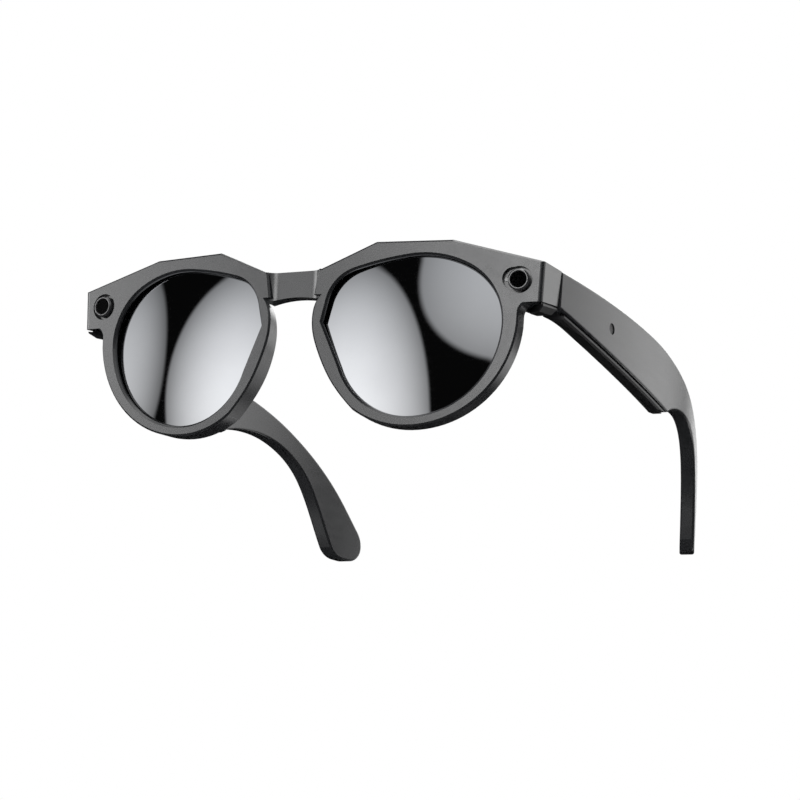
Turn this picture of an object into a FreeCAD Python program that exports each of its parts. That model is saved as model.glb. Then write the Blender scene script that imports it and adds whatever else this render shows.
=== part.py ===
import FreeCAD, Part
import math
import os

V = FreeCAD.Vector

# Smart glasses. Millimetres. +X is the wearer's left, +Y runs back along the temples, +Z is up.
# The origin is on the table under the middle of the whole object: rims and hook tips rest at z = 0.
# The front is drawn upright in its own plane (x across, y back, z up from the camera axis), each half is
# turned back by the wrap angle about the end of the bridge, and the whole front then leans by the tilt.
# The left temple is drawn in place; its outer face is one long arc in plan, and "depth" is measured
# inwards from that face. The right side is the mirror image of the left, apart from the button and switch.

# ---- driving dimensions: placing ----
TILT = 5.2              # lean of the front, top forward
WRAP = 7.3              # each half of the front turns back by this angle
WRAP_X = 9.0            # the wrap turns about a vertical line at the end of the bridge
FACE_Z = 38.74          # height of the camera axis above the table
Y_SHIFT = -83.85        # brings the middle of the overall length to y = 0

# ---- driving dimensions: front ----
RIM_DEPTH = 6.0         # front to back of the rims and brow
LENS_RADIUS = 130.0     # curvature of the lens, about base 4
LENS_THICK = 1.6
LENS_VERTEX = -0.4      # front of the lens behind the front face
LENS_CENTRE = (34.7, -14.3)
GROOVE = (1.3, 4.2)     # lens groove, front and back
GROOVE_DEEP = 0.8
LENS_FIT = 0.05
EDGE_BEVEL = 0.5
BRIDGE_TOP = 5.0
BRIDGE_RECESS = 1.8
SEAM_Y = 20.0           # back face of the end piece
END_X = 70.9            # outer side of the end piece
END_INNER_X = 62.4
END_BOTTOM = (-6.35, 0.09)   # lower edge of the end piece: height at y = 5 and rise per mm back
END_COVER_DROP = 2.3
END_COVER_START = 9.2
CHANNEL = (3.6, 5.2)    # cable channel in the back of the brow, front and back
CHANNEL_HALF = 0.8
BROW_COVER_HALF = 1.25

# ---- driving dimensions: camera pods ----
CAM_S = 64.6            # camera axis along the wrapped face
RECESS_R = 3.75
RECESS_DEEP = 1.3
LOBE_R = 3.1
LOBE_AT = (-1.6, 0.45)  # second lobe of the recess, from the camera axis
BEZEL_R = 3.0
BEZEL_PROUD = 0.9
WINDOW_R = 2.2
WINDOW_SUNK = 0.3       # window behind the front of its bezel
BARREL_HOLE_R = 2.3
POD = ((61.8, 68.7), (1.9, 8.6), (-4.2, 3.6))

# ---- driving dimensions: hinge ----
AXIS_X = 64.0
AXIS_Y = 20.5
HINGE_Z = 40.0
HINGE_HALF = 3.9
KNUCKLE_HALF = 1.3
KNUCKLE_GAP = 0.1
BARREL_R = 1.7
PIN_R = 0.7
PIN_FIT = 0.03          # running clearance of the pin, radial

# ---- driving dimensions: temple ----
TEMPLE_ARC = ((71.0, 20.0), (77.0, 80.0), (63.4, 160.0))   # plan view of the outer face
TEMPLE_START = 20.6
SHELL_THICK = 2.2
TEMPLE_THICK = 6.5
HOOK_THICK = 4.6
EDGE_ROUND = 0.7
TOP_FRONT = 45.5        # top edge of the temple at its front and where it starts to curve down
TOP_BACK = (80.0, 43.95)
BOTTOM_END = (94.3, 26.4)   # lower edge of the shell: a parabola that ends here
BOTTOM_SLOPE = 0.03
BOTTOM_CURVE = 0.001186
TIP_R = 5.2             # rounding of the hook's tip, which rests on the table
TIP_BACK = (168.2, 5.2)
TIP_FLAT = (160.0, 0.0)
TIP_FRONT = (154.7, 2.87)
COVER_START = 22.9
COVER_END = 94.6        # the step where the inner cover ends
COVER_DROP = 1.8        # the inner cover shows below the shell by this much
COVER_GAP = 0.75        # groove between the shell's lower edge and the cover
LIP_DEPTH = 0.35
UNDER_START = 0.9       # depth where the underside starts, and its rise per mm inwards from there
UNDER_RISE = 0.39
CHIN_END = 32.0         # towards the hinge the underside levels out again
CHIN_CURVE = 0.014
LIP_RISE = ((84.0, 24.6), (97.0, 26.45))   # the lip tapers out at the back along this line
TRAY_WALL = 1.0
TRAY_FLOOR = 1.0
CAVITY = (27.0, 92.0)
MIC_AT = (47.9, 37.5)
SWITCH_AT = (41.0, 38.2)
SWITCH_TRAVEL = 2.0
BUTTON_AT = 38.0
BUTTON_TRAVEL = 0.4
SLIDE_FIT = 0.12


def rad(angle):
    return math.radians(angle)


# ---- placing ----

def wrapped(shape):
    out = shape.copy()
    out.rotate(V(WRAP_X, 0, 0), V(0, 0, 1), WRAP)
    return out


def set_front(shape):
    """From the upright face plane to the part's frame."""
    out = shape.copy()
    out.rotate(V(0, 0, 0), V(1, 0, 0), TILT)
    out.translate(V(0, Y_SHIFT, FACE_Z))
    return out


def set_back(shape):
    """From the hinge and temple frame, which only lacks the shift, to the part's frame."""
    out = shape.copy()
    out.translate(V(0, Y_SHIFT, 0))
    return out


def unset_front(shape):
    """From the hinge and temple frame to the upright face plane, to cut front pieces with hinge shapes."""
    out = shape.copy()
    out.translate(V(0, 0, -FACE_Z))
    out.rotate(V(0, 0, 0), V(1, 0, 0), -TILT)
    return out


def mirrored(shape):
    return shape.mirror(V(0, 0, 0), V(1, 0, 0))


def joined(shapes):
    out = shapes[0]
    for shape in shapes[1:]:
        out = out.fuse(shape)
    return out.removeSplitter()


def save(name, shapes):
    """Write one node; a list is a group of separate solids."""
    if not isinstance(shapes, list):
        shapes = [shapes]
    solids = []
    for shape in shapes:
        solids = solids + shape.Solids
    if len(solids) != len(shapes):
        raise RuntimeError(name + " should have " + str(len(shapes)) + " solid(s), has " + str(len(solids)))
    for solid in solids:
        if not solid.isValid() or solid.Volume <= 0:
            raise RuntimeError(name + " is not a valid solid")
    out = solids[0] if len(solids) == 1 else Part.makeCompound(solids)
    out.exportStep(os.path.join("parts", name + ".step"))
    volume = sum(solid.Volume for solid in solids)
    print(name, len(solids), "solid(s)", round(volume, 1), "mm3")


def save_sides(name, left, place):
    save(name + "_left", place(left))
    save(name + "_right", place(mirrored(left)))


# ---- drawing on the face plane: points are (x, z) pairs ----

def box(x0, x1, y0, y1, z0, z1):
    return Part.makeBox(x1 - x0, y1 - y0, z1 - z0, V(x0, y0, z0))


def face_point(point):
    return V(point[0], 0, point[1])


def side_point(point):
    return V(0, point[0], point[1])


def tangent_arc(start, heading, end):
    """Arc from start to end that leaves start at the heading (degrees). Returns the edge and the new heading."""
    chord = math.degrees(math.atan2(end[1] - start[1], end[0] - start[0]))
    half_turn = (chord - heading + 180.0) % 360.0 - 180.0
    mid_heading = rad(chord - half_turn / 2.0)
    length = math.hypot(end[0] - start[0], end[1] - start[1])
    half_chord = length / (2.0 * math.cos(rad(half_turn / 2.0)))
    middle = (start[0] + half_chord * math.cos(mid_heading), start[1] + half_chord * math.sin(mid_heading))
    edge = Part.Arc(face_point(start), face_point(middle), face_point(end)).toShape()
    return edge, chord + half_turn


def arc_chain(start, heading, ends):
    edges = []
    here = start
    for end in ends:
        edge, heading = tangent_arc(here, heading, end)
        edges.append(edge)
        here = end
    return edges


def polyline(points, to_vector=face_point):
    edges = []
    for start, end in zip(points[:-1], points[1:]):
        edges.append(Part.makeLine(to_vector(start), to_vector(end)))
    return edges


def spline(points, to_vector=face_point, first=None, last=None):
    """Smooth curve through the points; first and last are its headings at the ends, in degrees."""
    curve = Part.BSplineCurve()
    through = [to_vector(point) for point in points]
    if first is None:
        curve.interpolate(through)
    else:
        start = to_vector((math.cos(rad(first)), math.sin(rad(first))))
        finish = to_vector((math.cos(rad(last)), math.sin(rad(last))))
        curve.interpolate(Points=through, InitialTangent=start, FinalTangent=finish)
    return curve.toShape()


def closed_wire(edges):
    return Part.Wire(Part.__sortEdges__(edges))


def polygon(points, to_vector=face_point):
    return closed_wire(polyline(list(points) + [points[0]], to_vector))


def prism(wire, y0, y1):
    """Extrude a wire drawn on the face plane from y0 to y1."""
    flat = Part.Face(wire)
    flat.translate(V(0, y0, 0))
    return flat.extrude(V(0, y1 - y0, 0))


def at_depth(wire, y):
    out = wire.copy()
    out.translate(V(0, y, 0))
    return out


def offset(wire, distance):
    """Parallel wire with sharp corners; positive is outwards."""
    return wire.makeOffset2D(distance, 2, False, False, True)


def ribbon(points, half_width, to_vector=face_point):
    """Closed wire of even width about a line of points, mitred at the turns."""
    left = []
    right = []
    last = len(points) - 1
    for i, point in enumerate(points):
        before = points[max(i - 1, 0)]
        after = points[min(i + 1, last)]
        first = math.atan2(point[1] - before[1], point[0] - before[0]) if i > 0 else None
        second = math.atan2(after[1] - point[1], after[0] - point[0]) if i < last else None
        if first is None:
            first = second
        if second is None:
            second = first
        normal = (first + second) / 2.0 + math.pi / 2.0
        reach = half_width / math.cos((second - first) / 2.0)
        left.append((point[0] + reach * math.cos(normal), point[1] + reach * math.sin(normal)))
        right.append((point[0] - reach * math.cos(normal), point[1] - reach * math.sin(normal)))
    return polygon(left + right[::-1], to_vector)


# ---- outlines of the front ----

OPENING_BOTTOM = (34.5, -36.3)
OPENING_VERTEX = (9.4, -9.8)
OPENING_CUT = (14.9, -22.2)
OPENING_NASAL = (10.6, -4.6)
OPENING_ARCS = [(60.0, -12.5), (50.8, 4.4), (33.7, 7.7), (18.5, 4.5), OPENING_NASAL]

BROW = [(7.8, 5.0), (8.6, 5.0), (24.2, 11.95), (45.9, 11.75), (69.7, 5.3), (69.1, -5.9), (67.7, -6.0)]
RIM_BOTTOM = (34.5, -39.2)
RIM_OUTER = (64.6, -12.0)
RIM_NASAL = [(15.4, -31.2), (6.5, -19.0)]
NOTCH_TOP = (67.7, -6.0)
NOTCH_SIDE = (64.7, -9.0)
NOTCH_R = 3.0

CABLE_BRIDGE = [(0.0, 1.4), (6.0, 1.4), (9.0, 2.8)]
CABLE_WING = [(9.0, 2.8), (12.5, 4.3), (24.6, 9.7), (34.0, 10.2), (46.0, 9.6), (58.5, 5.6), (62.4, 1.6)]


def opening_wire():
    """Lens opening: pantos shape with one straight nasal cut."""
    edges = arc_chain(OPENING_BOTTOM, 0.0, OPENING_ARCS)
    edges = edges + polyline([OPENING_NASAL, OPENING_VERTEX, OPENING_CUT])
    edges = edges + arc_chain(OPENING_BOTTOM, 180.0, [OPENING_CUT])
    return closed_wire(edges)


def half_outline():
    """Outer outline of one half of the front: faceted brow above, round rim below."""
    middle = (NOTCH_TOP[0] - NOTCH_R * math.sin(rad(45)), NOTCH_SIDE[1] + NOTCH_R * math.sin(rad(45)))
    edges = polyline(BROW)
    edges.append(Part.Arc(face_point(NOTCH_TOP), face_point(middle), face_point(NOTCH_SIDE)).toShape())
    edges = edges + polyline([NOTCH_SIDE, RIM_OUTER])
    edges = edges + arc_chain(RIM_BOTTOM, 0.0, [RIM_OUTER])
    edges = edges + arc_chain(RIM_BOTTOM, 180.0, RIM_NASAL)
    edges = edges + polyline([RIM_NASAL[-1], (5.6, -9.0), (6.6, -3.0), BROW[0]])
    return closed_wire(edges)


# Nasal side of the rim at the front edge and at the back face: it splays outwards as it goes back.
FLANK_FRONT = [(8.6, -2.2), (6.9, -5.2), (6.37, -8.9), (6.6, -12.2), (7.9, -16.8), (9.9, -21.6), (12.6, -26.5),
               (16.2, -31.2), (20.0, -35.2)]
FLANK_BACK = [(11.0, -2.2), (9.0, -5.2), (8.1, -8.9), (7.95, -12.2), (8.7, -16.8), (10.2, -21.6), (12.8, -26.5),
              (16.3, -31.2), (20.0, -35.2)]


def flank_wire(points, y, shift=0.0):
    curve = spline([(x + shift, z) for x, z in points])
    first = (points[0][0] + shift, points[0][1])
    last = (points[-1][0] + shift, points[-1][1])
    edges = [curve] + polyline([last, (0.0, last[1] - 6.0), (0.0, first[1]), first])
    return at_depth(closed_wire(edges), y)


def flank_cutter():
    """Everything on the nasal side of the splayed flank, with the front edge bevelled."""
    back_slope = [(2 * b[0] - a[0], b[1]) for a, b in zip(FLANK_FRONT, FLANK_BACK)]
    sections = [
        flank_wire(FLANK_FRONT, -0.5, 1.0),
        flank_wire(FLANK_FRONT, EDGE_BEVEL, 0.0),
        flank_wire(FLANK_BACK, RIM_DEPTH, 0.0),
        flank_wire(back_slope, 2 * RIM_DEPTH - EDGE_BEVEL, 0.0),
    ]
    return Part.makeLoft(sections, True, True)


# ---- front pieces ----

def half_plate():
    """Rim and brow of one half, with its front edge bevelled."""
    outline = half_outline()
    plate = prism(outline, EDGE_BEVEL, RIM_DEPTH)
    bevel = Part.makeLoft([offset(outline, -EDGE_BEVEL), at_depth(outline, EDGE_BEVEL)], True, True)
    return plate.fuse(bevel)


def end_piece():
    """Deep corner block that carries the hinge; its side runs straight back."""
    low = END_BOTTOM[0]
    profile = [(END_INNER_X, brow_height(END_INNER_X)), (END_X, brow_height(END_X)), (END_X - 0.5, low),
               (END_INNER_X, low)]
    block = prism(polygon(profile), 4.0, SEAM_Y + 4.0)
    face_line = Part.makeBox(30, 30, 40, V(WRAP_X + 50, -30, -20))
    face_line.rotate(V(WRAP_X, 0, 0), V(0, 0, 1), WRAP)
    block = block.cut(face_line)
    front_corner = []
    for edge in block.Edges:
        box_of = edge.BoundBox
        if box_of.XMin > END_X - 0.6 and box_of.YMax < 12.0 and box_of.ZLength > 8.0:
            front_corner.append(edge)
    block = block.makeFillet(1.5, front_corner)
    below = [(0.0, end_bottom(0.0)), (30.0, end_bottom(30.0)), (30.0, -12.0), (0.0, -12.0)]
    below_edge = Part.Face(polygon(below, side_point))
    block = block.cut(below_edge.extrude(V(90.0, 0, 0)))
    return block.cut(behind_seam()).cut(wrapped(brow_wedge()))


def brow_height(x):
    """Height of the outer brow line at x on the wrapped face."""
    (s0, z0), (s1, z1) = BROW[3], BROW[4]
    s = WRAP_X + (x - WRAP_X) / math.cos(rad(WRAP))
    return z0 + (z1 - z0) * (s - s0) / (s1 - s0)


def brow_wedge():
    """Wedge that carries the bevel of the brow's front edge on along the end piece."""
    (s0, z0), (s1, z1) = BROW[3], BROW[4]
    reach = 1.25
    section = [(-1.0, z0 - 1.0 - EDGE_BEVEL), (1.0, z0 + 1.0 - EDGE_BEVEL), (-1.0, z0 + 1.0)]
    wedge = Part.Face(polygon(section, side_point))
    wedge.translate(V(s0, 0, 0))
    return wedge.extrude(V((s1 - s0) * reach, 0, (z1 - z0) * reach))


def behind_seam():
    return unset_front(box(40, 90, SEAM_Y, SEAM_Y + 30, 0, 80))


def end_bottom(y):
    return END_BOTTOM[0] + END_BOTTOM[1] * (y - 5.0)


def end_cover():
    """Bonded cover under the end piece; its lip carries on the line of the temple's lip."""
    drop = END_COVER_DROP
    profile = [(70.3, -0.45), (70.3, -0.95), (68.6, -drop), (64.6, -drop), (END_INNER_X + 0.2, -drop + 1.0),
               (END_INNER_X + 0.2, 0.0), (69.4, 0.0), (69.4, -0.45)]
    length = SEAM_Y + 3.0 - END_COVER_START
    flat = Part.Face(polygon(profile))
    flat.translate(V(0, END_COVER_START, end_bottom(END_COVER_START)))
    body = flat.extrude(V(0, length, length * END_BOTTOM[1]))
    body = body.cut(wrapped(prism(half_outline(), -3.0, RIM_DEPTH)))
    front = END_COVER_START
    swept = Part.Face(polygon([(front, -6.5), (front + 4.0, -9.5), (0.0, -9.5), (0.0, -6.5)], side_point))
    body = body.cut(swept.extrude(V(90.0, 0, 0)))
    points = [V(70.5, front, -12), V(64.0, front + 6.5, -12), V(60, 0, -12), V(70.5, front, -12)]
    corner = Part.Face(Part.makePolygon(points))
    body = body.cut(corner.extrude(V(0, 0, 12.0)))
    return body.cut(behind_seam())


def bridge():
    """Recessed bridge with a concave blend into each rim face."""
    half = 8.4
    blend = 3.4
    back = RIM_DEPTH
    inner = half - blend
    mid_x = half - blend * 0.62
    mid_y = BRIDGE_RECESS * 0.86
    edges = [
        Part.Arc(V(-half, 0, 0), V(-mid_x, mid_y, 0), V(-inner, BRIDGE_RECESS, 0)).toShape(),
        Part.makeLine(V(-inner, BRIDGE_RECESS, 0), V(inner, BRIDGE_RECESS, 0)),
        Part.Arc(V(inner, BRIDGE_RECESS, 0), V(mid_x, mid_y, 0), V(half, 0, 0)).toShape(),
        Part.makeLine(V(half, 0, 0), V(half, back, 0)),
        Part.makeLine(V(half, back, 0), V(-half, back, 0)),
        Part.makeLine(V(-half, back, 0), V(-half, 0, 0)),
    ]
    flat = Part.Face(Part.Wire(edges))
    flat.translate(V(0, 0, -3.4))
    body = flat.extrude(V(0, 0, 3.4 + BRIDGE_TOP))
    arch_radius = 32.0
    arch = Part.makeCylinder(arch_radius, 12.0, V(0, -2.0, -2.2 - arch_radius), V(0, 1, 0))
    return body.cut(arch)


def cable_run(half_width, y0, y1):
    """Strip along the cable's path over both brows and the bridge."""
    middle = CABLE_BRIDGE[::-1]
    middle = [(-x, z) for x, z in middle] + CABLE_BRIDGE[1:]
    centre = prism(ribbon(middle, half_width), y0, y1)
    wing = wrapped(prism(ribbon(CABLE_WING, half_width), y0, y1))
    return joined([centre, wing, mirrored(wing)])


def camera_recess():
    """Round recess and the hole for the camera behind it."""
    main = Part.makeCylinder(RECESS_R, RECESS_DEEP + 1.0, V(CAM_S, -1.0, 0), V(0, 1, 0))
    hole = Part.makeCylinder(BARREL_HOLE_R, 4.0, V(CAM_S, 0, 0), V(0, 1, 0))
    return joined([main, hole])


def light_lobe():
    """Second, smaller lobe of the left recess, for the capture light."""
    return Part.makeCylinder(LOBE_R, RECESS_DEEP + 1.0, V(CAM_S + LOBE_AT[0], -1.0, LOBE_AT[1]), V(0, 1, 0))


def pod_pocket():
    (s0, s1), (n0, n1), (z0, z1) = POD
    return wrapped(box(s0, s1, n0, n1, z0, z1))


def pod_window():
    """Opening of the camera pocket in the inner wall of the end piece."""
    return box(END_INNER_X - 2.0, END_INNER_X + 3.0, 13.2, 15.4, -3.6, 3.0)


def pod_cover():
    plate = box(END_INNER_X - 0.5, END_INNER_X, 13.0, 16.0, -4.2, 3.6)
    plug = box(END_INNER_X - 0.1, END_INNER_X + 0.9, 13.9, 15.35, -3.55, 2.95)
    return joined([plate, plug])


def contact_pins(radius, y0, y1):
    pins = []
    for x in (-3.6, 0.0, 3.6):
        pins.append(Part.makeCylinder(radius, y1 - y0, V(x, y0, 1.4), V(0, 1, 0)))
    return pins


def light_pipe(radius, y0, y1):
    """Light in the second lobe of the left recess, beside the camera bezel."""
    return Part.makeCylinder(radius, y1 - y0, V(CAM_S - 3.75, y0, LOBE_AT[1]), V(0, 1, 0))


def front_shell():
    plate = half_plate()
    opening = opening_wire()
    groove = prism(offset(opening, GROOVE_DEEP), GROOVE[0], GROOVE[1])
    flare = Part.makeLoft([at_depth(offset(opening, 0.8), -0.2), at_depth(opening, 0.6)], True, True)
    half = wrapped(plate.cut(flank_cutter()))
    half = half.fuse(end_piece())
    half = half.cut(wrapped(prism(opening, -2.0, RIM_DEPTH + 2.0)))
    half = half.cut(wrapped(flare))
    half = half.cut(wrapped(groove))
    half = half.cut(wrapped(camera_recess()))
    half = half.cut(pod_pocket())
    half = half.cut(pod_window())
    half = half.cut(unset_front(hinge_pocket()))
    body = joined([half, mirrored(half), bridge()])
    body = body.cut(cable_run(CHANNEL_HALF, CHANNEL[0], RIM_DEPTH + 1.0))
    body = body.cut(cable_run(BROW_COVER_HALF + 0.05, CHANNEL[1], RIM_DEPTH + 1.0))
    body = body.cut(wrapped(light_lobe()))
    body = body.cut(wrapped(light_pipe(0.55, RECESS_DEEP - 0.5, POD[1][0] + 0.5)))
    return body


def brow_cover():
    cover = cable_run(BROW_COVER_HALF, CHANNEL[1], RIM_DEPTH)
    cut_end = wrapped(box(61.6, 80.0, 0, 20, -10, 20))
    cover = cover.cut(cut_end).cut(mirrored(cut_end))
    for pin in contact_pins(0.85, 4.0, 8.0):
        cover = cover.cut(pin)
    return cover


def brow_flex():
    return cable_run(0.6, 3.8, 4.05)


def lens():
    centre = V(LENS_CENTRE[0], LENS_VERTEX + LENS_RADIUS, LENS_CENTRE[1])
    ball = Part.makeSphere(LENS_RADIUS, centre)
    hollow = Part.makeSphere(LENS_RADIUS - LENS_THICK, centre)
    edge = prism(offset(opening_wire(), GROOVE_DEEP - LENS_FIT), -1.0, 12.0)
    return edge.common(ball).cut(hollow)


def nose_pad():
    """Fin bonded behind the nasal side of the rim; it leans outwards as it goes back."""
    root_outer = [(9.2, -7.4), (8.25, -10.5), (8.3, -13.8), (9.2, -17.8), (10.7, -21.8), (12.9, -25.2)]
    root_inner = [(12.9, -25.2), (14.3, -23.6), (12.9, -19.4), (11.0, -15.0), (9.5, -10.8), (9.2, -7.4)]
    tip_outer = [(10.9, -8.9), (10.35, -11.4), (10.5, -14.2), (11.2, -17.2), (12.2, -19.9), (13.4, -21.6)]
    tip_inner = [(13.4, -21.6), (13.9, -20.4), (13.3, -17.6), (12.4, -14.4), (11.5, -11.2), (10.9, -8.9)]
    root = closed_wire([spline(root_outer), spline(root_inner)])
    tip = closed_wire([spline(tip_outer), spline(tip_inner)])
    return Part.makeLoft([at_depth(root, RIM_DEPTH), at_depth(tip, RIM_DEPTH + 3.2)], True, True)


# ---- camera pieces, upright at the camera axis, then wrapped ----

def disc(radius, y0, y1):
    return Part.makeCylinder(radius, y1 - y0, V(CAM_S, y0, 0), V(0, 1, 0))


def camera_bezel():
    """Ring with a coned mouth, standing on the floor of the recess and a little proud of the face."""
    front = V(CAM_S, -BEZEL_PROUD, 0)
    shoulder = 0.4
    ring = disc(BEZEL_R, shoulder - BEZEL_PROUD, RECESS_DEEP)
    ring = ring.fuse(Part.makeCone(BEZEL_R - shoulder, BEZEL_R, shoulder, front, V(0, 1, 0)))
    ring = ring.cut(disc(WINDOW_R + 0.02, -2.0, 3.0))
    return ring.cut(Part.makeCone(BEZEL_R - 0.6, WINDOW_R, WINDOW_SUNK, front, V(0, 1, 0)))


def camera_window():
    front = WINDOW_SUNK - BEZEL_PROUD
    return disc(WINDOW_R, front, front + 0.5)


def camera_barrel():
    """Stepped lens barrel behind the window, with its front glass."""
    body = disc(BARREL_HOLE_R - 0.05, RECESS_DEEP + 0.05, 4.6)
    flange = disc(2.7, 4.6, 5.4)
    bore = disc(1.1, 0.0, 2.2)
    return joined([body, flange]).cut(bore)


def camera_sensor():
    board = box(CAM_S - 1.2, CAM_S + 3.8, 5.45, 6.0, -3.6, 3.2)
    chip = box(CAM_S + 0.2, CAM_S + 2.8, 6.0, 6.7, -1.6, 1.6)
    return joined([board, chip])


# ---- hinge ----

def axis_cylinder(radius, z0, z1):
    return Part.makeCylinder(radius, z1 - z0, V(AXIS_X, AXIS_Y, z0), V(0, 0, 1))


def hinge_pocket():
    """Room in the end piece for the hinge block, the barrels and the swing of the knuckle."""
    slot = box(END_INNER_X - 1.0, 69.2, 16.2, 18.5, HINGE_Z - HINGE_HALF - 0.05, HINGE_Z + HINGE_HALF + 0.05)
    notch = box(END_INNER_X - 1.0, 66.3, 18.4, 30.0, HINGE_Z - 20.0, HINGE_Z + 20.0)
    return slot.fuse(notch)


def front_hinge():
    """Metal block sunk in the end piece, with the outer two barrels."""
    slab = box(END_INNER_X, 69.15, 16.25, 18.35, HINGE_Z - HINGE_HALF, HINGE_Z + HINGE_HALF)
    gap = KNUCKLE_HALF + KNUCKLE_GAP
    pieces = [slab]
    for z0, z1 in ((HINGE_Z - HINGE_HALF, HINGE_Z - gap), (HINGE_Z + gap, HINGE_Z + HINGE_HALF)):
        pieces.append(axis_cylinder(BARREL_R, z0, z1))
        pieces.append(box(AXIS_X - BARREL_R, AXIS_X + BARREL_R, 18.0, AXIS_Y, z0, z1))
    body = joined(pieces)
    return body.cut(axis_cylinder(PIN_R, HINGE_Z - 10, HINGE_Z + 10))


def hinge_pin():
    """Pin pressed in the outer barrels, with a slotted screw head on top."""
    shaft = axis_cylinder(PIN_R, HINGE_Z - HINGE_HALF, HINGE_Z + HINGE_HALF)
    head = axis_cylinder(1.3, HINGE_Z + HINGE_HALF, HINGE_Z + HINGE_HALF + 0.6)
    slot = box(AXIS_X - 2.0, AXIS_X + 2.0, AXIS_Y - 0.15, AXIS_Y + 0.15, HINGE_Z + HINGE_HALF + 0.3, HINGE_Z + 10)
    return joined([shaft, head]).cut(slot)


def temple_hinge():
    """Middle knuckle and the leaf let into the inner wall of the temple cover."""
    z0 = HINGE_Z - KNUCKLE_HALF
    z1 = HINGE_Z + KNUCKLE_HALF
    knuckle = axis_cylinder(BARREL_R, z0, z1)
    arm = box(AXIS_X, 66.2, AXIS_Y, 25.0, z0, z1)
    leaf = hinge_leaf(0.0)
    body = joined([knuckle, arm, leaf]).cut(axis_cylinder(PIN_R + PIN_FIT, z0 - 5, z1 + 5))
    for screw in hinge_screws(0.03):
        body = body.cut(screw)
    return body


def hinge_leaf(grow):
    return temple_block(28.6, 11.2 + grow, HINGE_Z - 2.9 - grow, HINGE_Z + 2.9 + grow, 5.45 - grow, 6.4 + grow)


def hinge_screws(grow):
    screws = []
    for along in (27.0, 32.0):
        shaft = temple_pin(along, HINGE_Z, 0.5 + grow, 3.6, 6.3)
        head = temple_pin(along, HINGE_Z, 0.95 + grow, 5.9, 6.35 + 10 * grow)
        screws.append(joined([shaft, head]))
    return screws


# ---- temple ----

def circle_through(a, b, c):
    """Centre and radius of the circle through three plan points."""
    d = 2.0 * (a[0] * (b[1] - c[1]) + b[0] * (c[1] - a[1]) + c[0] * (a[1] - b[1]))
    aa = a[0] ** 2 + a[1] ** 2
    bb = b[0] ** 2 + b[1] ** 2
    cc = c[0] ** 2 + c[1] ** 2
    x = (aa * (b[1] - c[1]) + bb * (c[1] - a[1]) + cc * (a[1] - b[1])) / d
    y = (aa * (c[0] - b[0]) + bb * (a[0] - c[0]) + cc * (b[0] - a[0])) / d
    return (x, y), math.hypot(a[0] - x, a[1] - y)


ARC_CENTRE, ARC_R = circle_through(*TEMPLE_ARC)


def band(depth_out, depth_in):
    """Everything between two depths inside the temple's outer face, at every height."""
    plan = []
    for radius in (ARC_R - depth_out, ARC_R - depth_in):
        plan.append([V(ARC_CENTRE[0] + radius * math.cos(a), ARC_CENTRE[1] + radius * math.sin(a), -10.0)
                     for a in (-0.4, 0.0, 0.5)])
    outer, inner = plan
    edges = [Part.Arc(*outer).toShape(), Part.Arc(*inner).toShape()]
    edges.append(Part.makeLine(outer[0], inner[0]))
    edges.append(Part.makeLine(outer[2], inner[2]))
    return Part.Face(closed_wire(edges)).extrude(V(0, 0, 80.0))


def face_x(y):
    """Plan view of the outer face."""
    return ARC_CENTRE[0] + math.sqrt(ARC_R ** 2 - (y - ARC_CENTRE[1]) ** 2)


def slab(wire):
    """Side view drawn as (y, z), extruded across the left temple."""
    flat = Part.Face(wire)
    flat.translate(V(45.0, 0, 0))
    return flat.extrude(V(50.0, 0, 0))


def in_band(wire, depth_out, depth_in):
    return slab(wire).common(band(depth_out, depth_in))


def plan_angle(y):
    """Turn of the temple's outer face away from +Y at a given y, in degrees (positive when it splays out)."""
    return math.degrees(math.asin((ARC_CENTRE[1] - y) / ARC_R))


def to_temple(shape, y):
    """Move a shape drawn with depth along -X from the origin and length along +Y to the temple at y."""
    angle = plan_angle(y)
    out = shape.copy()
    out.rotate(V(0, 0, 0), V(0, 0, 1), -angle)
    out.translate(V(face_x(y), y, 0))
    return out


def temple_block(y, length, z0, z1, depth_out, depth_in):
    return to_temple(box(-depth_in, -depth_out, -length / 2.0, length / 2.0, z0, z1), y)


def temple_pin(y, z, radius, depth_out, depth_in):
    pin = Part.makeCylinder(radius, depth_in - depth_out, V(-depth_out, 0, z), V(-1, 0, 0))
    return to_temple(pin, y)


def top_z(y):
    return TOP_FRONT + (y - TEMPLE_START) * (TOP_BACK[1] - TOP_FRONT) / (TOP_BACK[0] - TEMPLE_START)


def bottom_z(y):
    back = BOTTOM_END[0] - y
    return BOTTOM_END[1] + BOTTOM_SLOPE * back + BOTTOM_CURVE * back ** 2


def lower_curve(y0, y1, raised):
    """Part of the lower edge's parabola, raised by some distance."""
    z0 = bottom_z(y0) + raised
    z1 = bottom_z(y1) + raised
    slope = -BOTTOM_SLOPE - 2.0 * BOTTOM_CURVE * (BOTTOM_END[0] - y0)
    curve = Part.BezierCurve()
    curve.setPoles([V(0, y0, z0), V(0, (y0 + y1) / 2.0, z0 + slope * (y1 - y0) / 2.0), V(0, y1, z1)])
    return curve.toShape()


def top_curve():
    """Top edge behind the straight part, down to the tip."""
    slope = math.degrees(math.atan((TOP_BACK[1] - TOP_FRONT) / (TOP_BACK[0] - TEMPLE_START)))
    points = [TOP_BACK, (98.5, 42.75), (112.6, 41.1), (125.7, 38.2), (136.1, 34.3), (147.0, 28.4), (158.5, 19.0),
              (165.2, 11.6), TIP_BACK]
    return spline(points, side_point, slope, -90.0)


def below_top():
    """Side view of all that lies under the temple's top edge."""
    corners = [TIP_BACK, (TIP_BACK[0], -5.0), (0.0, -5.0), (0.0, top_z(0.0)), TOP_BACK]
    return closed_wire([top_curve()] + polyline(corners, side_point))


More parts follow.
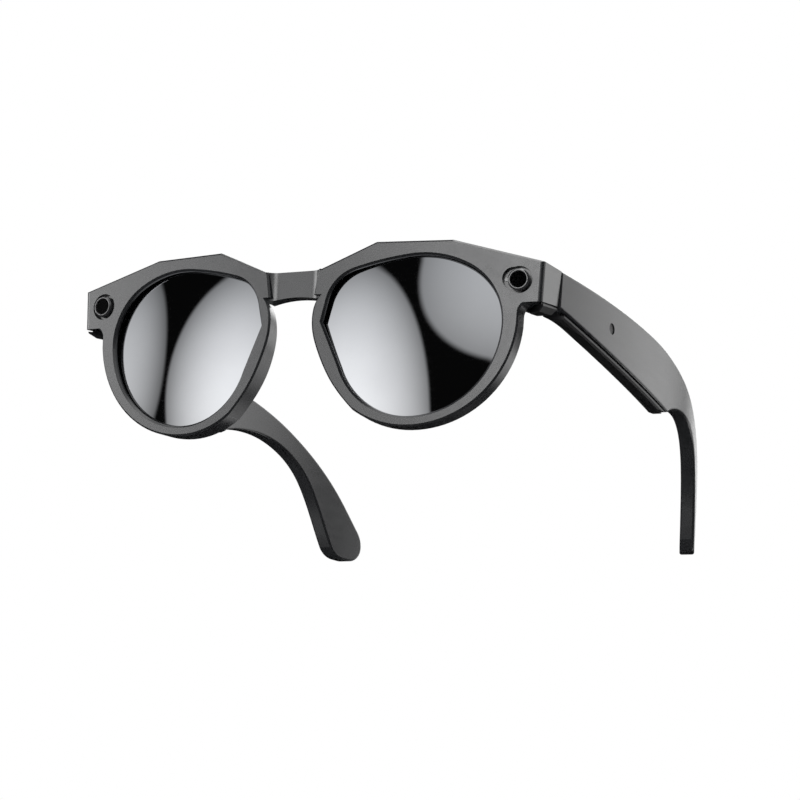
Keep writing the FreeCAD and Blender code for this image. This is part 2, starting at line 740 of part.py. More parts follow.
def shell_side():
    """Side view of the outer shell and the ear hook."""
    top = top_curve()
    under = spline([TIP_FRONT, (149.0, 12.2), (145.2, 17.9), (140.5, 23.3), (135.3, 27.0), (128.2, 29.8),
                    (120.0, 31.2), (110.8, 30.9), (101.0, 28.9), BOTTOM_END], side_point, 123.0, -156.0)
    toe_mid = (TIP_BACK[0] - TIP_R * (1.0 - math.cos(rad(45))), TIP_R * (1.0 - math.sin(rad(45))))
    toe_end = (TIP_BACK[0] - TIP_R, 0.0)
    toe = Part.Arc(side_point(TIP_BACK), side_point(toe_mid), side_point(toe_end)).toShape()
    heel_mid = (157.16, 0.75)
    heel = Part.Arc(side_point(TIP_FLAT), side_point(heel_mid), side_point(TIP_FRONT)).toShape()
    edges = [top, under, toe, heel]
    edges.append(lower_curve(TEMPLE_START, BOTTOM_END[0], 0.0))
    edges = edges + polyline([toe_end, TIP_FLAT], side_point)
    edges = edges + polyline([(TEMPLE_START, bottom_z(TEMPLE_START)), (TEMPLE_START, TOP_FRONT), TOP_BACK],
                             side_point)
    return closed_wire(edges)


def strip_side(y0, y1, raised, top):
    """Side view of a strip that stands on the lower edge's curve; top is a height, sloped as the top edge."""
    z0 = bottom_z(y0) + raised
    z1 = bottom_z(y1) + raised
    top0 = top + top_z(y0)
    top1 = top + top_z(y1)
    lines = polyline([(y1, z1), (y1, top1), (y0, top0), (y0, z0)], side_point)
    return closed_wire([lower_curve(y0, y1, raised)] + lines)


HOOK_LINE = [(99.0, 35.8), (112.0, 36.0), (124.0, 34.4), (136.0, 30.4), (145.5, 23.6), (152.5, 15.6), (158.0, 8.6)]


def hook_core(grow):
    """Flat metal core inside the ear hook."""
    return in_band(ribbon(HOOK_LINE, 0.9 + grow, side_point), 1.8 - grow, 2.8 + grow)


def cover_screws(grow):
    screws = []
    for y, z in COVER_SCREWS:
        shaft = temple_pin(y, z, 0.6 + grow, SHELL_THICK - 0.9, 6.2)
        head = temple_pin(y, z, 1.1 + grow, 5.85, 6.4 + 10 * grow)
        screws.append(joined([shaft, head]))
    return screws


COVER_SCREWS = ((49.5, 41.3), (82.5, 39.0))


def on_face(edge, depth):
    """True when an edge lies on the cylinder at this depth."""
    for point in edge.discretize(7):
        if abs(math.hypot(point.x - ARC_CENTRE[0], point.y - ARC_CENTRE[1]) - (ARC_R - depth)) > 0.01:
            return False
    return True


def mic_port():
    dimple = temple_pin(MIC_AT[0], MIC_AT[1], 1.6, -1.0, 0.6)
    hole = temple_pin(MIC_AT[0], MIC_AT[1], 0.5, -1.0, 4.0)
    return dimple.fuse(hole)


def temple_shell():
    body = in_band(shell_side(), 0.0, HOOK_THICK)
    room = in_band(strip_side(0.0, COVER_END + 0.1, -20.0, 10.0), SHELL_THICK, HOOK_THICK + 5.0)
    body = body.cut(room)
    rim = []
    for edge in body.Edges:
        back = edge.BoundBox.YMax
        if back > TEMPLE_START + 1.0 and on_face(edge, 0.0):
            rim.append(edge)
        if back > COVER_END + 2.0 and on_face(edge, HOOK_THICK):
            rim.append(edge)
    body = body.makeFillet(EDGE_ROUND, rim)
    for y, z in COVER_SCREWS:
        body = body.fuse(temple_pin(y, z, 1.5, SHELL_THICK - 0.2, 5.3))
    for screw in cover_screws(0.02):
        body = body.cut(screw)
    body = body.cut(mic_port())
    body = body.cut(hook_core(0.04))
    return body.removeSplitter()


def underside():
    """Everything below the cover's sloping underside."""
    reach = 16.0
    x_ref = TEMPLE_ARC[1][0]
    points = []
    for i in range(15):
        y = COVER_START - 3.0 + i * (COVER_END + 6.0 - COVER_START) / 14.0
        start = face_x(y) - UNDER_START
        chin = CHIN_CURVE * max(CHIN_END - y, 0.0) ** 2
        points.append((y, bottom_z(y) - COVER_DROP + UNDER_RISE * (start - x_ref) - chin))
    low = points[0][1] - 30.0
    edges = [spline(points, side_point)]
    edges = edges + polyline([points[-1], (points[-1][0], low), (points[0][0], low), points[0]], side_point)
    flat = Part.Face(closed_wire(edges))
    flat.translate(V(x_ref, 0, 0))
    return flat.extrude(V(-reach, 0, reach * UNDER_RISE))


def temple_cover():
    """Tray that closes the temple from the inner side, with a lip that shows below the shell."""
    main_part = in_band(strip_side(COVER_START, COVER_END, -COVER_DROP, 5.0), SHELL_THICK + 0.02, TEMPLE_THICK)
    main_part = main_part.common(slab(below_top()))
    lip = in_band(lip_side(), LIP_DEPTH, SHELL_THICK + 1.0)
    body = joined([main_part, lip]).cut(underside())
    low_end = Part.Face(polygon([LIP_RISE[0], LIP_RISE[1], (LIP_RISE[1][0], 15.0), (LIP_RISE[0][0], 15.0)], side_point))
    chamfered = []
    rounded = []
    for edge in body.Edges:
        low = edge.BoundBox.ZMax < bottom_z(COVER_START) - COVER_GAP - 0.3
        if low and edge.Length > 30.0 and on_face(edge, LIP_DEPTH):
            chamfered.append(edge)
        if edge.Length > 30.0 and on_face(edge, TEMPLE_THICK):
            rounded.append(edge)
    body = body.makeChamfer(0.45, chamfered)
    body = body.makeFillet(EDGE_ROUND, rounded)
    body = body.cut(low_end.extrude(V(100.0, 0, 0)))
    cavity = in_band(strip_side(CAVITY[0], CAVITY[1], TRAY_FLOOR, -1.5), 0.0, TEMPLE_THICK - TRAY_WALL)
    body = body.cut(cavity)
    body = body.cut(hinge_leaf(0.04))
    body = body.cut(temple_block(23.0, 6.5, HINGE_Z - KNUCKLE_HALF - 0.2, HINGE_Z + KNUCKLE_HALF + 0.2, 4.4, 8.0))
    for screw in cover_screws(0.05) + hinge_screws(0.03):
        body = body.cut(screw)
    body = body.cut(grille_slot())
    return body.removeSplitter()


def lip_side():
    lower = lower_curve(COVER_START, COVER_END, -COVER_DROP)
    upper = lower_curve(COVER_START, COVER_END, -COVER_GAP)
    ends = []
    for y in (COVER_START, COVER_END):
        ends = ends + polyline([(y, bottom_z(y) - COVER_DROP), (y, bottom_z(y) - COVER_GAP)], side_point)
    return closed_wire([lower, upper] + ends)


GRILLE_Y = 84.0
GRILLE_DEPTH = 3.9


def on_underside(shape):
    """Place a shape drawn at the origin, its outer face at z = 0, on the cover's sloping underside."""
    out = shape.copy()
    fall = BOTTOM_SLOPE + 2.0 * BOTTOM_CURVE * (BOTTOM_END[0] - GRILLE_Y)
    out.rotate(V(0, 0, 0), V(0, 1, 0), math.degrees(math.atan(UNDER_RISE)))
    out.rotate(V(0, 0, 0), V(1, 0, 0), -math.degrees(math.atan(fall)))
    z = bottom_z(GRILLE_Y) - COVER_DROP + UNDER_RISE * (GRILLE_DEPTH - UNDER_START)
    out.translate(V(-GRILLE_DEPTH, 0, z))
    return to_temple(out, GRILLE_Y)


def grille_slot():
    plate_room = box(-1.05, 1.05, -4.55, 4.55, -1.0, 0.6)
    way_in = box(-0.7, 0.7, -4.0, 4.0, -1.0, 3.5)
    return on_underside(plate_room.fuse(way_in))


def speaker_grille():
    plate = box(-1.0, 1.0, -4.5, 4.5, 0.05, 0.55)
    for i in range(6):
        y = -3.25 + 1.3 * i
        plate = plate.cut(box(-0.65, 0.65, y - 0.35, y + 0.35, -1.0, 2.0))
    return on_underside(plate)


# ---- inside the temples ----

def battery():
    return temple_block(65.5, 26.0, 31.4, 41.4, 3.05, 5.4)


def circuit_board():
    board = temple_block(38.2, 16.0, 34.6, 39.6, 2.75, 3.35)
    chip = temple_block(36.0, 6.0, 34.9, 38.9, 3.35, 4.1)
    return joined([board, chip])


def speaker():
    return temple_block(85.0, 11.0, 28.6, 35.4, 2.9, 5.3)


def microphone():
    return temple_block(MIC_AT[0], 2.6, MIC_AT[1] - 1.6, MIC_AT[1] + 1.6, SHELL_THICK + 0.05, 3.2)


def mic_mesh():
    return temple_pin(MIC_AT[0], MIC_AT[1], 1.5, 0.3, 0.6)


def touch_sensor():
    side = polygon([(54.0, 31.5), (79.0, 29.5), (79.0, 41.0), (54.0, 41.5)], side_point)
    return in_band(side, SHELL_THICK + 0.03, SHELL_THICK + 0.25)


# ---- button on the right temple, drawn on the left and mirrored ----

def button_room():
    z = top_z(BUTTON_AT)
    upper = temple_block(BUTTON_AT, 9.0 + 2 * SLIDE_FIT, z - 3.0, z + 2.0, 3.0 - SLIDE_FIT, 5.2 + SLIDE_FIT)
    return upper


def capture_button():
    """Bar in the top of the cover with a flange under the wall."""
    z = top_z(BUTTON_AT)
    bar = temple_block(BUTTON_AT, 9.0, z - 2.2, z + 0.55, 3.0, 5.2)
    rounded = []
    for edge in bar.Edges:
        if edge.BoundBox.ZMin > z + 0.5:
            rounded.append(edge)
    bar = bar.makeFillet(0.3, rounded)
    flange = temple_block(BUTTON_AT, 10.4, z - 2.2, z - 1.75, 2.8, 5.3)
    return joined([bar, flange])


def tact_switch():
    z = top_z(BUTTON_AT)
    return temple_block(BUTTON_AT, 4.0, z - 4.2, z - 2.2 - BUTTON_TRAVEL - 0.05, 3.2, 5.2)


# ---- power switch on the left temple ----

def switch_room():
    y, z = SWITCH_AT
    long = 3.0 + SWITCH_TRAVEL + 2 * SLIDE_FIT
    return temple_block(y + SWITCH_TRAVEL / 2.0, long, z - 1.1 - SLIDE_FIT, z + 1.1 + SLIDE_FIT, 5.0, 8.0)


def power_switch():
    """Small slider in the inner wall of the cover, with a plate behind the wall."""
    y, z = SWITCH_AT
    knob = temple_block(y, 3.0, z - 1.1, z + 1.1, 5.0, TEMPLE_THICK + 0.35)
    plate = temple_block(y, 4.0, z - 1.5, z + 1.5, 4.5, 5.2)
    return joined([knob, plate])


def main():
    os.makedirs("parts", exist_ok=True)
    save("front_shell", set_front(front_shell()))
    save("brow_cover", set_front(brow_cover()))
    save("brow_flex", set_front(brow_flex()))
    save("charge_contacts", [set_front(pin) for pin in contact_pins(0.8, 5.0, RIM_DEPTH + 0.05)])
    save("capture_light", set_front(wrapped(light_pipe(0.5, RECESS_DEEP - 0.2, POD[1][0]))))
    save_sides("lens", wrapped(lens()), set_front)
    save_sides("nose_pad", wrapped(nose_pad()), set_front)
    save_sides("camera_bezel", wrapped(camera_bezel()), set_front)
    save_sides("camera_window", wrapped(camera_window()), set_front)
    save_sides("camera_barrel", wrapped(camera_barrel()), set_front)
    save_sides("camera_sensor", wrapped(camera_sensor()), set_front)
    save_sides("pod_cover", pod_cover(), set_front)
    save_sides("end_cover", end_cover(), set_front)
    save_sides("front_hinge", front_hinge(), set_back)
    save_sides("hinge_pin", hinge_pin(), set_back)
    save_sides("temple_hinge", temple_hinge(), set_back)
    save("hinge_screws_left", [set_back(screw) for screw in hinge_screws(0.0)])
    save("hinge_screws_right", [set_back(mirrored(screw)) for screw in hinge_screws(0.0)])
    save("cover_screws_left", [set_back(screw) for screw in cover_screws(0.0)])
    save("cover_screws_right", [set_back(mirrored(screw)) for screw in cover_screws(0.0)])
    save_sides("temple_shell", temple_shell(), set_back)
    cover = temple_cover()
    save("temple_cover_left", set_back(cover.cut(switch_room())))
    save("temple_cover_right", set_back(mirrored(cover.cut(button_room()))))
    save_sides("hook_core", hook_core(0.0), set_back)
    save_sides("speaker_grille", speaker_grille(), set_back)
    save_sides("speaker", speaker(), set_back)
    save_sides("battery", battery(), set_back)
    save_sides("circuit_board", circuit_board(), set_back)
    save_sides("microphone", microphone(), set_back)
    save_sides("mic_mesh", mic_mesh(), set_back)
    save("touch_sensor_right", set_back(mirrored(touch_sensor())))
    save("capture_button_right", set_back(mirrored(capture_button())))
    save("tact_switch_right", set_back(mirrored(tact_switch())))
    save("power_switch_left", set_back(power_switch()))


main()
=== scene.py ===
"""Visual model of the camera smart glasses: materials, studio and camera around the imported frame."""
import math

import bpy
from mathutils import Matrix, Vector


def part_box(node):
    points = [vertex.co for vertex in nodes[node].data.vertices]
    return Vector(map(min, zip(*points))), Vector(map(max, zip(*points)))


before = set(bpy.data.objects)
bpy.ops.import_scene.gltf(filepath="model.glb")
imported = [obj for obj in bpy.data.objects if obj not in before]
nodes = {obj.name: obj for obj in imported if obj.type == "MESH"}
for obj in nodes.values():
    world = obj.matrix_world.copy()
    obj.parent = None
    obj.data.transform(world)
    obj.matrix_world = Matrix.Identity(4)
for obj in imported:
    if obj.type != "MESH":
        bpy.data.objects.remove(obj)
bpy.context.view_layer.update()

MICRON = 1e-6
NOISE_SPAN = (0.3, 0.7)  # where most of a noise texture's values lie


# ---------------------------------------------------------------- node helpers

class Tree:
    """Short calls for building a node tree."""

    def __init__(self, owner):
        owner.use_nodes = True
        self.tree = owner.node_tree
        self.tree.nodes.clear()

    def add(self, kind, **settings):
        node = self.tree.nodes.new(kind)
        for name, value in settings.items():
            setattr(node, name, value)
        return node

    def link(self, source, target):
        self.tree.links.new(source, target)

    def feed(self, socket, value):
        """Link a socket, or set a constant."""
        if isinstance(value, bpy.types.NodeSocket):
            self.link(value, socket)
        else:
            socket.default_value = value

    def math(self, operation, a, b=None, clamp=False):
        node = self.add("ShaderNodeMath", operation=operation, use_clamp=clamp)
        self.feed(node.inputs[0], a)
        if b is not None:
            self.feed(node.inputs[1], b)
        return node.outputs[0]

    def remap(self, value, low, high, to_low, to_high, smooth=False):
        node = self.add("ShaderNodeMapRange")
        node.interpolation_type = "SMOOTHSTEP" if smooth else "LINEAR"
        for name, x in (("Value", value), ("From Min", low), ("From Max", high),
                        ("To Min", to_low), ("To Max", to_high)):
            self.feed(node.inputs[name], x)
        return node.outputs[0]

    def spread(self, value, to_low, to_high):
        """Spread a noise value over a range."""
        return self.remap(value, *NOISE_SPAN, to_low, to_high)

    def weigh(self, a, share, b):
        """Weighted mean; share is the weight of a."""
        return self.math("ADD", self.math("MULTIPLY", a, share), self.math("MULTIPLY", b, 1 - share))

    def noise(self, where, scale, detail=3.0, roughness=0.5, stretch=None):
        """Noise texture; scale is in features per metre, stretch multiplies it along each axis."""
        if stretch:
            mapping = self.add("ShaderNodeMapping")
            mapping.inputs["Scale"].default_value = stretch
            self.link(where, mapping.inputs["Vector"])
            where = mapping.outputs[0]
        node = self.add("ShaderNodeTexNoise")
        node.inputs["Scale"].default_value = scale
        node.inputs["Detail"].default_value = detail
        node.inputs["Roughness"].default_value = roughness
        self.link(where, node.inputs["Vector"])
        return node.outputs["Fac"]

    def blend(self, factor, a, b):
        """Mix two colours, each a tuple or a socket."""
        node = self.add("ShaderNodeMix", data_type="RGBA")
        self.feed(node.inputs[0], factor)
        self.feed(node.inputs[6], (*a, 1.0) if isinstance(a, tuple) else a)
        self.feed(node.inputs[7], (*b, 1.0) if isinstance(b, tuple) else b)
        return node.outputs[2]

    def bump(self, height, depth, strength=1.0):
        """Bump with its depth in metres."""
        node = self.add("ShaderNodeBump")
        node.inputs["Strength"].default_value = strength
        node.inputs["Distance"].default_value = depth
        self.link(height, node.inputs["Height"])
        return node.outputs["Normal"]


def shader(tree, color, roughness, normal=None, **constants):
    """Principled surface; constants stay on the shader's own sockets."""
    node = tree.add("ShaderNodeBsdfPrincipled")
    tree.feed(node.inputs["Base Color"], color)
    tree.feed(node.inputs["Roughness"], roughness)
    if normal is not None:
        tree.link(normal, node.inputs["Normal"])
    for name, value in constants.items():
        node.inputs[name.replace("_", " ")].default_value = value
    out = tree.add("ShaderNodeOutputMaterial")
    tree.link(node.outputs[0], out.inputs["Surface"])


def start(name):
    """New material, its tree and the object coordinates in metres."""
    made = bpy.data.materials.new(name)
    tree = Tree(made)
    return made, tree, tree.add("ShaderNodeTexCoord").outputs["Object"]


def moulded(name, dark, light, rough, grain, depth, **constants):
    """Moulded plastic: slow colour drift, patchy polish, fine flow streaks and a shallow skin grain."""
    made, tree, where = start(name)
    drift = tree.noise(where, 55, 2)
    skin = tree.noise(where, grain, 4, 0.6)
    streak = tree.noise(where, 160, 3, 0.6, (3.0, 0.35, 3.0))
    tone = tree.weigh(drift, 0.65, skin)
    color = tree.blend(tree.spread(tone, 0, 1), dark, light)
    polish = tree.weigh(streak, 0.55, drift)
    shader(tree, color, tree.spread(polish, *rough), tree.bump(skin, depth, 0.6), **constants)
    return made


def metal(name, dark, light, rough, stretch):
    """Brushed or turned metal: streaks along one direction and a few dull patches."""
    made, tree, where = start(name)
    brush = tree.noise(where, 900, 4, 0.6, stretch)
    patch = tree.noise(where, 220, 2)
    color = tree.blend(tree.spread(brush, 0, 1), dark, light)
    mixed = tree.weigh(brush, 0.6, patch)
    shader(tree, color, tree.spread(mixed, *rough), tree.bump(brush, 3 * MICRON, 0.4), Metallic=1.0)
    return made


# ------------------------------------------------------------------- materials

shell = moulded("shell_gloss", (0.014, 0.0145, 0.016), (0.024, 0.025, 0.027),
                rough=(0.2, 0.28), grain=2600, depth=5 * MICRON, Specular_IOR_Level=0.7)
satin = moulded("cover_satin", (0.011, 0.011, 0.012), (0.022, 0.022, 0.024),
                rough=(0.42, 0.55), grain=3200, depth=20 * MICRON)
bezel = moulded("bezel_gloss", (0.02, 0.02, 0.021), (0.03, 0.03, 0.032),
                rough=(0.16, 0.24), grain=3000, depth=4 * MICRON, Coat_Weight=0.4)
switch = moulded("switch_satin", (0.03, 0.03, 0.033), (0.05, 0.05, 0.054),
                 rough=(0.35, 0.48), grain=3600, depth=20 * MICRON)

steel = metal("brushed_steel", (0.48, 0.49, 0.51), (0.58, 0.59, 0.61),
              rough=(0.28, 0.35), stretch=(2.0, 0.25, 2.0))
screw = metal("turned_steel", (0.36, 0.37, 0.38), (0.6, 0.61, 0.63),
              rough=(0.18, 0.34), stretch=(2.0, 2.0, 2.0))
core = metal("spring_steel", (0.45, 0.45, 0.46), (0.66, 0.66, 0.67),
             rough=(0.25, 0.4), stretch=(8.0, 0.4, 8.0))
contact = metal("gold_contact", (0.62, 0.44, 0.16), (0.86, 0.66, 0.32),
                rough=(0.16, 0.28), stretch=(2.0, 2.0, 2.0))
black_metal = metal("black_anodised", (0.018, 0.018, 0.019), (0.032, 0.032, 0.034),
                    rough=(0.3, 0.38), stretch=(1.0, 1.0, 1.0))


def mirror_lens():
    """Dark sun lens with a mirror coat: slightly brighter downwards, with faint haze and wipe marks."""
    made, tree, where = start("lens_mirror")
    low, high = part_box("lens_right")
    height = tree.add("ShaderNodeSeparateXYZ")
    tree.link(where, height.inputs[0])
    rise = tree.remap(height.outputs["Z"], low.z, high.z, 0, 1)
    haze = tree.noise(where, 90, 3)
    wiped = tree.noise(where, 240, 4, 0.6, (1.0, 1.0, 5.0))
    tint = tree.blend(rise, (0.33, 0.335, 0.345), (0.27, 0.278, 0.292))
    color = tree.blend(tree.remap(haze, 0.35, 0.75, 0, 0.22), tint, (0.25, 0.255, 0.265))
    shader(tree, color, tree.remap(wiped, 0.35, 0.7, 0.02, 0.04),
           tree.bump(haze, 4 * MICRON, 0.15), Metallic=1.0)
    return made


def camera_glass():
    """Thin tinted cover glass; the low index stands for its anti-reflection coat."""
    made, tree, where = start("camera_glass")
    drift = tree.noise(where, 300, 2)
    color = tree.blend(drift, (0.05, 0.05, 0.065), (0.09, 0.085, 0.11))
    shader(tree, color, tree.spread(drift, 0.02, 0.05), Transmission_Weight=1.0, IOR=1.12)
    return made


def sensor_glass():
    """Objective seen behind the cover glass: a patchy coat from black to deep violet."""
    made, tree, where = start("camera_objective")
    spots = tree.noise(where, 700, 2)
    color = tree.blend(tree.spread(spots, 0, 1), (0.006, 0.006, 0.01), (0.02, 0.016, 0.035))
    shader(tree, color, tree.spread(spots, 0.06, 0.14), Coat_Weight=0.6)
    return made


def light_pipe():
    """Milky light guide of the capture light."""
    made, tree, where = start("frosted_pipe")
    cloud = tree.noise(where, 1500, 4)
    color = tree.blend(cloud, (0.45, 0.46, 0.47), (0.62, 0.62, 0.62))
    shader(tree, color, tree.spread(cloud, 0.3, 0.5), tree.bump(cloud, 20 * MICRON, 0.4),
           Transmission_Weight=0.4)
    return made


def board():
    """Green solder mask with a grid of paler track lines, laid in the board's upright plane."""
    made, tree, where = start("circuit_mask")
    grid = tree.add("ShaderNodeTexBrick")
    mapping = tree.add("ShaderNodeMapping")
    mapping.inputs["Rotation"].default_value = (math.radians(90), 0, math.radians(90))
    tree.link(where, mapping.inputs["Vector"])
    tree.link(mapping.outputs[0], grid.inputs["Vector"])
    grid.inputs["Scale"].default_value = 420
    grid.inputs["Mortar Size"].default_value = 0.06
    grid.inputs["Mortar Smooth"].default_value = 0.3
    tracks = grid.outputs["Fac"]
    weave = tree.noise(where, 2400, 3)
    mask = tree.blend(weave, (0.008, 0.06, 0.032), (0.02, 0.105, 0.055))
    color = tree.blend(tree.math("MULTIPLY", tracks, 0.8), mask, (0.16, 0.2, 0.09))
    shader(tree, color, tree.spread(weave, 0.32, 0.48), tree.bump(tracks, 30 * MICRON, 0.5))
    return made


def film():
    """Amber polyimide film with the darker lines of its tracks."""
    made, tree, where = start("amber_film")
    lines = tree.add("ShaderNodeTexWave", wave_type="BANDS", bands_direction="Z")
    tree.link(where, lines.inputs["Vector"])
    lines.inputs["Scale"].default_value = 420
    lines.inputs["Distortion"].default_value = 0.4
    cloud = tree.noise(where, 500, 3)
    base = tree.blend(cloud, (0.3, 0.13, 0.022), (0.44, 0.21, 0.045))
    color = tree.blend(tree.math("MULTIPLY", lines.outputs["Fac"], 0.45), base, (0.2, 0.075, 0.014))
    shader(tree, color, tree.spread(cloud, 0.22, 0.38),
           tree.bump(lines.outputs["Fac"], 10 * MICRON, 0.4), Coat_Weight=0.2)
    return made


def pouch():
    """Crinkled aluminium pouch foil."""
    made, tree, where = start("pouch_foil")
    crease = tree.add("ShaderNodeTexVoronoi", feature="DISTANCE_TO_EDGE")
    tree.link(where, crease.inputs["Vector"])
    crease.inputs["Scale"].default_value = 300
    sheen = tree.noise(where, 800, 4)
    color = tree.blend(sheen, (0.5, 0.51, 0.53), (0.68, 0.69, 0.71))
    fold = tree.remap(crease.outputs["Distance"], 0, 0.2, 0, 1)
    shader(tree, color, tree.spread(sheen, 0.28, 0.45), tree.bump(fold, 40 * MICRON, 0.5), Metallic=0.9)
    return made


def pierced():
    """Black pierced sheet: rows of small round holes shown as near-black dots, painted shade for the
    dark insides of the holes.
    """
    made, tree, where = start("pierced_black")
    dots = tree.add("ShaderNodeTexVoronoi", feature="F1")
    tree.link(where, dots.inputs["Vector"])
    dots.inputs["Scale"].default_value = 1700
    dots.inputs["Randomness"].default_value = 0.0
    # Mask of the holes: it dips them in the bump and fills them with near-black colour, painted shade
    # for their dark insides.
    hole_and_shade = tree.remap(dots.outputs["Distance"], 0.28, 0.36, 1, 0, True)
    skin = tree.noise(where, 2800, 3)
    rim = tree.blend(skin, (0.018, 0.018, 0.019), (0.034, 0.034, 0.036))
    # The near-black (0.001) in the holes is painted shade.
    color = tree.blend(hole_and_shade, rim, (0.001, 0.001, 0.001))
    shader(tree, color, tree.spread(skin, 0.3, 0.45),
           tree.bump(tree.math("SUBTRACT", 1.0, hole_and_shade), 100 * MICRON, 0.6), Metallic=0.4)
    return made


FINISH = {
    "front_shell": shell, "temple_shell": shell, "nose_pad": shell,
    "brow_cover": satin, "end_cover": satin, "pod_cover": satin, "temple_cover": satin,
    "lens": mirror_lens(), "camera_bezel": bezel, "camera_window": camera_glass(),
    "camera_barrel": black_metal, "camera_sensor": sensor_glass(),
    "front_hinge": steel, "temple_hinge": steel, "hinge_pin": screw, "hinge_screws": screw,
    "cover_screws": screw, "hook_core": core, "charge_contacts": contact,
    "capture_light": light_pipe(), "circuit_board": board(),
    "brow_flex": film(), "touch_sensor": film(), "battery": pouch(),
    "speaker": black_metal, "speaker_grille": pierced(),
    "mic_mesh": pierced(), "microphone": black_metal,
    "capture_button": switch, "power_switch": switch, "tact_switch": black_metal,
}

for name, thing in nodes.items():
    plain = name.removesuffix("_left").removesuffix("_right")
    for index in range(max(1, len(thing.material_slots))):
        if index < len(thing.data.materials):
            thing.material_slots[index].link = "OBJECT"
            thing.material_slots[index].material = FINISH[plain]
        else:
            thing.data.materials.append(FINISH[plain])


# ---------------------------------------------------------------------- studio

# Soft boxes painted on the dark room, by direction in degrees (azimuth 0 faces the front of the
# glasses, and grows towards the wearer's left): azimuth, elevation, half width, half height,
# brightness at the edge and in the middle, roundness power, softness of the edge.
SOFT_BOXES = (
    (-27.5, -10, 22.8, 35, 0.6, 2.7, 2.0, 0.05),
    (18, 27, 28, 27, 0.75, 1.5, 2.3, 0.08),
    (-66, 7, 16, 18.5, 0.35, 1.6, 2.0, 0.08),
    (-24, 58, 50, 16, 1.0, 3.0, 3.0, 0.35),
    (148, 14, 26, 36, 0.8, 1.7, 2.4, 0.3),
    (172, -34, 24, 12, 0.5, 1.4, 2.0, 0.3),
    (-168, 28, 20, 18, 0.8, 2.6, 2.4, 0.3),
    (108, 8, 7, 30, 0.8, 1.8, 2.0, 0.3),
    (-98, 15, 10, 30, 0.8, 1.6, 2.0, 0.3),
)
ROOM_GLOW = 0.006
OVERHEAD_RISE = (72, 82)  # elevations between which the light overhead comes up
OVERHEAD_GLOW = 4.0


def studio():
    """White surround for the camera; for everything else the dark room with its soft boxes."""
    world = bpy.data.worlds.new("studio")
    bpy.context.scene.world = world
    tree = Tree(world)
    way = tree.add("ShaderNodeSeparateXYZ")
    tree.link(tree.add("ShaderNodeTexCoord").outputs["Generated"], way.inputs[0])
    to_degrees = math.degrees(1)
    ahead = tree.math("MULTIPLY", way.outputs["Y"], -1.0)
    around = tree.math("MULTIPLY", tree.math("ARCTAN2", way.outputs["X"], ahead), to_degrees)
    up = tree.math("MULTIPLY", tree.math("ARCSINE", way.outputs["Z"]), to_degrees)

    def reach(angle, middle, half, power):
        """Distance from the box's middle, 1 at its edge, raised to the roundness power."""
        offset = tree.math("DIVIDE", tree.math("SUBTRACT", angle, middle), half)
        return tree.math("POWER", tree.math("ABSOLUTE", offset), power)

    def box(azimuth, elevation, wide, high, edge, middle, power, soft):
        far = tree.math("ADD", reach(around, azimuth, wide, power), reach(up, elevation, high, power))
        mask = tree.remap(far, 1 + soft, 1 - soft, 0, 1, smooth=True)
        inner = tree.math("MULTIPLY", tree.math("SUBTRACT", 1.0, far, clamp=True), middle - edge)
        return tree.math("MULTIPLY", mask, tree.math("ADD", inner, edge))

    total = ROOM_GLOW
    for spec in SOFT_BOXES:
        total = tree.math("ADD", total, box(*spec))
    total = tree.math("ADD", total, tree.remap(up, *OVERHEAD_RISE, 0, OVERHEAD_GLOW, smooth=True))
    lit, seen = (tree.add("ShaderNodeBackground") for _ in range(2))
    for background in (lit, seen):
        background.inputs["Color"].default_value = (1, 1, 1, 1)
    tree.link(total, lit.inputs["Strength"])
    mix = tree.add("ShaderNodeMixShader")
    tree.link(tree.add("ShaderNodeLightPath").outputs["Is Camera Ray"], mix.inputs[0])
    tree.link(lit.outputs[0], mix.inputs[1])
    tree.link(seen.outputs[0], mix.inputs[2])
    out = tree.add("ShaderNodeOutputWorld")
    tree.link(mix.outputs[0], out.inputs["Surface"])


FLOOR_HALF = 6.0
FLOOR_LEVEL = -0.5


def floor():
    """Pale floor, set well below the glasses because the camera looks up at them."""
    mesh = bpy.data.meshes.new("floor")
    corners = ((-1, -1), (1, -1), (1, 1), (-1, 1))
    mesh.from_pydata([(x * FLOOR_HALF, y * FLOOR_HALF, FLOOR_LEVEL) for x, y in corners],
                     [], [(0, 1, 2, 3)])
    thing = bpy.data.objects.new("floor", mesh)
    bpy.context.scene.collection.objects.link(thing)
    made, tree, where = start("floor_paper")
    fibre = tree.noise(where, 30, 3)
    color = tree.blend(fibre, (0.86, 0.86, 0.86), (0.9, 0.9, 0.9))
    shader(tree, color, 0.8)
    mesh.materials.append(made)
    thing.visible_glossy = False


# Camera fitted to the photo: an orbit about the front of the glasses as if it stood upright, and
# then that front's lean and place.
ORBIT = (25.298, -10.56, 2.2586)  # azimuth, elevation and roll in degrees
AIM = (-0.0294485, 0.0306188, 0.749982)  # the front seen by the camera: right, up and away
FRONT_LEAN = 5.2
FRONT_PLACE = (0, -0.08385, 0.03874)
FOCAL_PIXELS, PHOTO_PIXELS = 2739.798, 800
SENSOR_MM = 36.0


def direction(azimuth, elevation):
    """Unit vector from the glasses towards an azimuth and elevation in radians."""
    return Vector((math.sin(azimuth) * math.cos(elevation), -math.cos(azimuth) * math.cos(elevation),
                   math.sin(elevation)))


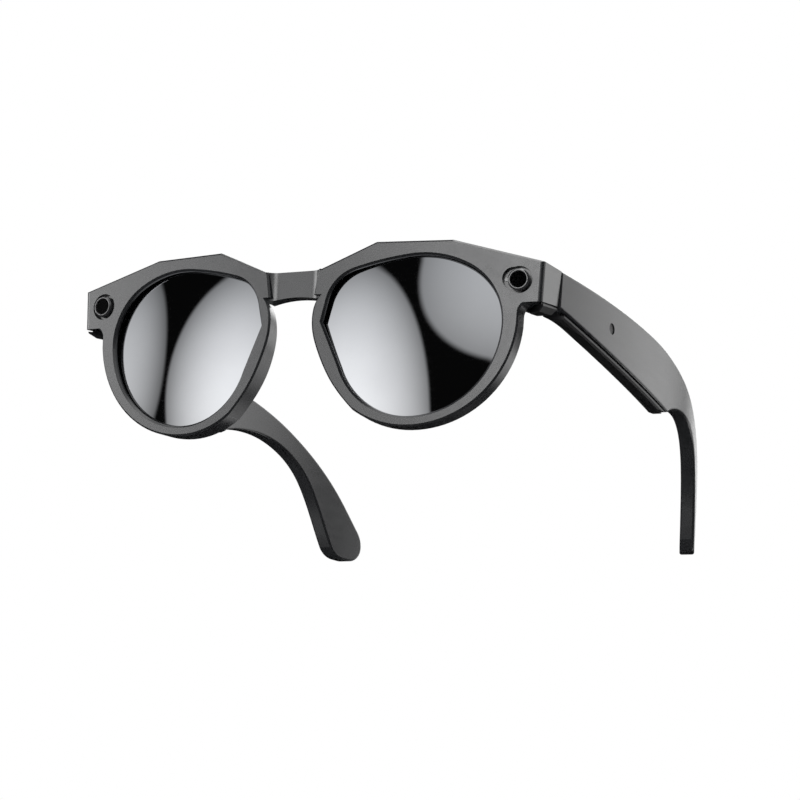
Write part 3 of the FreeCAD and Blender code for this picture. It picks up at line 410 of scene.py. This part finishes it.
def camera():
    """Low three-quarter view, as in the photo."""
    azimuth, elevation, roll = (math.radians(angle) for angle in ORBIT)
    back = direction(azimuth, elevation)
    side = (-back).cross(Vector((0, 0, 1))).normalized()
    top = side.cross(-back)
    right = math.cos(roll) * side + math.sin(roll) * top
    upper = -math.sin(roll) * side + math.cos(roll) * top
    pose = Matrix((right, upper, back)).transposed().to_4x4()
    pose.translation = -(right * AIM[0] + upper * AIM[1] - back * AIM[2])
    data = bpy.data.cameras.new("camera")
    data.lens = FOCAL_PIXELS / PHOTO_PIXELS * SENSOR_MM
    data.sensor_width, data.sensor_fit = SENSOR_MM, "HORIZONTAL"
    data.clip_start, data.clip_end = 0.01, 50
    thing = bpy.data.objects.new("camera", data)
    bpy.context.scene.collection.objects.link(thing)
    lean = Matrix.Rotation(math.radians(FRONT_LEAN), 4, "X")
    thing.matrix_world = Matrix.Translation(Vector(FRONT_PLACE)) @ lean @ pose
    bpy.context.scene.camera = thing


# The two boxes for the plastic: name, azimuth in degrees, width in metres and power in watts.
FACE_BOXES = (("face_box_left", 3, 0.5, 3.3), ("face_box_right", -60, 0.58, 3.0))
FACE_BOX_ELEVATION = 12
FACE_BOX_HEIGHT = 0.42
FACE_BOX_AWAY = 1.25
FACE_BOX_TARGET = (0, -0.08, 0.03)
UNLIT = ("lens", "camera_window")  # their mirror images of the boxes would cover the studio's


def face_lights():
    """Two soft boxes that give the plastic faces their sheen."""
    lit = bpy.data.collections.new("lit_by_face_boxes")
    for name, node in nodes.items():
        if not name.startswith(UNLIT):
            lit.objects.link(node)
    for name, azimuth, width, energy in FACE_BOXES:
        data = bpy.data.lights.new(name, "AREA")
        data.shape, data.energy = "RECTANGLE", energy
        data.size, data.size_y = width, FACE_BOX_HEIGHT
        thing = bpy.data.objects.new(name, data)
        bpy.context.scene.collection.objects.link(thing)
        way = direction(math.radians(azimuth), math.radians(FACE_BOX_ELEVATION))
        thing.location = Vector(FACE_BOX_TARGET) + way * FACE_BOX_AWAY
        thing.rotation_euler = way.to_track_quat("Z", "Y").to_euler()
        thing.visible_camera = False
        thing.light_linking.receiver_collection = lit


studio()
face_lights()
floor()
camera()
bpy.context.scene.view_settings.view_transform = "Standard"
bpy.context.scene.view_settings.look = "None"
